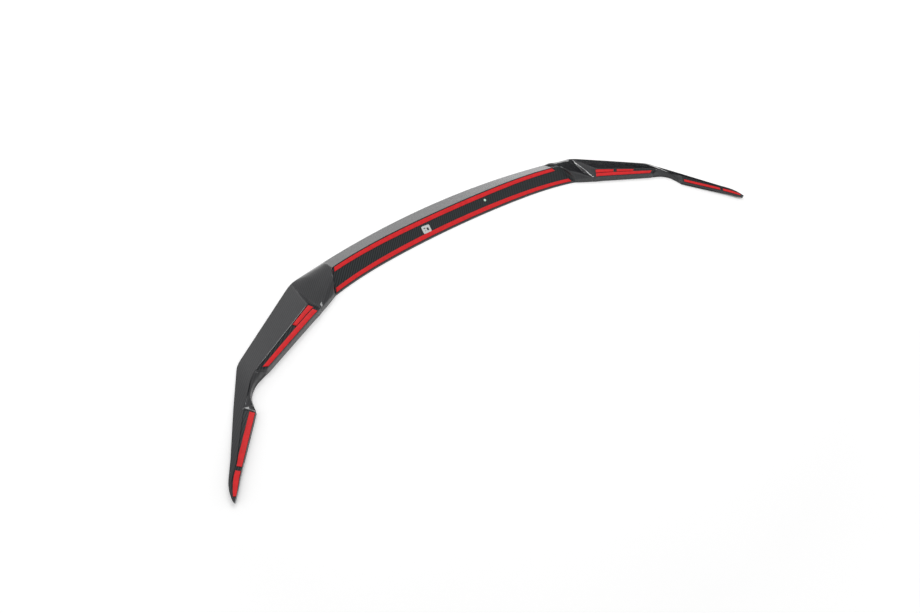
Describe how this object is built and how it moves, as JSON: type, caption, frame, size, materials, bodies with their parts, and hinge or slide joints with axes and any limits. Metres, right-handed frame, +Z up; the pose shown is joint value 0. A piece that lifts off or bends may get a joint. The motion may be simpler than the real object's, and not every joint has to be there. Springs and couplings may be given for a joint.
{
  "type": "front bumper lip",
  "caption": "Low front bumper lip in glossy carbon-fibre twill, seen from its mating side: domed caps, swept wings, pointed tips and red-lined tape strips.",
  "frame": {"origin": "on the floor under the middle of the bounding box, the lip lying on its open underside", "axes": "+X across the car to its left, -Y to the front of the car, +Z up out of the mating faces"},
  "size_m": [1.8, 0.5399, 0.0384],
  "materials": {
    "carbon": "2x2 twill carbon laminate under a glossy clear coat",
    "foam": "dark closed-cell foam tape",
    "liner": "red release film with a soft sheen",
    "label": "matt pale paper label",
    "dot": "matt pale green paper dot"
  },
  "bodies": {
    "root": {"lip_shell": "carbon", "foam_centre_front": "foam", "foam_centre_rear": "foam", "foam_wing_short_l": "foam", "foam_wing_short_r": "foam", "foam_wing_outer_r": "foam", "foam_wing_long_l": "foam", "foam_wing_long_r": "foam", "foam_tip_long_l": "foam", "foam_tip_long_r": "foam", "foam_tip_short_l": "foam", "foam_tip_short_r": "foam", "liner_centre_front": "liner", "liner_centre_rear": "liner", "liner_wing_short_l": "liner", "liner_wing_short_r": "liner", "liner_wing_outer_r": "liner", "liner_wing_long_l": "liner", "liner_wing_long_r": "liner", "liner_tip_long_l": "liner", "liner_tip_long_r": "liner", "liner_tip_short_l": "liner", "liner_tip_short_r": "liner", "inspection_label": "label", "round_dot": "dot"}
  },
  "joints": []
}
